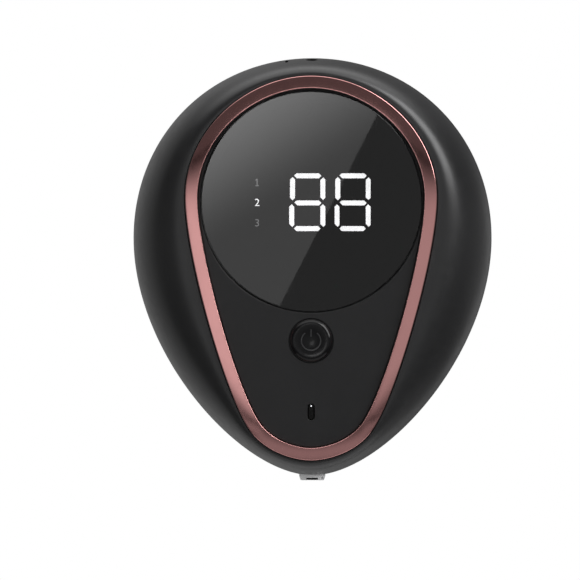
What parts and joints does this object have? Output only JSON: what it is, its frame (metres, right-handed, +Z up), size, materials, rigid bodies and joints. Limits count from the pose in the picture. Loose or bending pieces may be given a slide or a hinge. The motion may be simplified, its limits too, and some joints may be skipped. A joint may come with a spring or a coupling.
{
  "type": "automatic foam soap dispenser",
  "caption": "Wall-mounted automatic foam soap dispenser: dark teardrop housing with a rose-gold ring, round digit display, power button and bottom nozzle.",
  "frame": {"origin": "centre of the wall bracket's adhesive face, at the height where the housing is widest", "axes": "+X to the viewer's right, +Y into the wall, +Z up"},
  "size_m": [0.127, 0.06, 0.1496],
  "materials": {
    "shell": "satin charcoal",
    "panel": "satin black",
    "ring": "rose gold, satin",
    "lens": "gloss smoked",
    "gloss": "gloss black",
    "light": "milky light guide",
    "grey": "moulded grey",
    "tank": "milky",
    "silicone": "soft matt",
    "board": "solder mask",
    "steel": "plated",
    "wrap": "shrink wrap",
    "tape": "foam tape"
  },
  "bodies": {
    "wall_mount": {"wall_bracket": "grey", "adhesive_pad": "tape"},
    "housing": {"front_housing": "shell", "rear_housing": "shell", "housing_gasket": "silicone", "trim_ring": "ring", "front_panel": "panel", "display_lens": "lens", "digit_mask": "panel", "tens_digit_guide": "light", "units_digit_guide": "light", "level_light_guide": "light", "main_board": "board", "controller_chip": "gloss", "tact_switch": "grey", "button_seal": "silicone", "status_light_guide": "gloss", "status_led": "light", "inner_frame": "grey", "housing_screw_1": "steel", "housing_screw_2": "steel", "housing_screw_3": "steel", "housing_screw_4": "steel", "frame_screw_1": "steel", "frame_screw_2": "steel", "board_screw_1": "steel", "board_screw_2": "steel", "battery_cell": "wrap", "battery_contact_left": "steel", "battery_contact_right": "steel", "soap_tank": "tank", "soap_tube": "silicone", "pump_motor": "steel", "pump_base": "grey", "swing_frame": "grey", "diaphragm": "silicone", "valve_plate": "grey", "pump_head": "grey", "foam_tube": "silicone", "foamer_body": "grey", "foam_mesh": "steel", "nozzle": "grey", "nozzle_seal": "silicone", "sensor_window": "gloss", "ir_emitter": "gloss", "ir_receiver": "gloss", "sensor_board": "board", "charge_socket": "steel", "charge_board": "board", "lid_hinge_pin": "steel"},
    "button": {"button_cap": "gloss", "switch_plunger": "gloss"},
    "pump_rotor": {"motor_shaft": "steel", "eccentric_wheel": "steel", "drive_pin": "steel"},
    "lid": {"filler_lid": "shell", "lid_seal": "silicone"},
    "socket_cover": {"charge_cover": "silicone"}
  },
  "joints": [
    {"name": "unit_lift", "type": "slide", "parent": "wall_mount", "child": "housing", "axis": [0, 0, 1], "range_m": [0, 0.031]},
    {"name": "button_press", "type": "slide", "parent": "housing", "child": "button", "axis": [0, 1, 0], "range_m": [0, 0.0004], "stiffness_N_per_m": 800},
    {"name": "filler_lid_hinge", "type": "hinge", "parent": "housing", "child": "lid", "pos_m": [0, -0.0086, 0.0594], "axis": [-1, 0, 0], "range_deg": [0, 95]},
    {"name": "pump_spin", "type": "hinge", "parent": "housing", "child": "pump_rotor", "pos_m": [0, -0.029, -0.047], "axis": [1, 0, 0], "continuous": true},
    {"name": "charge_cover_hinge", "type": "hinge", "parent": "housing", "child": "socket_cover", "pos_m": [-0.008, -0.0016, -0.056], "axis": [0, 0, 1], "range_deg": [0, 100]}
  ]
}
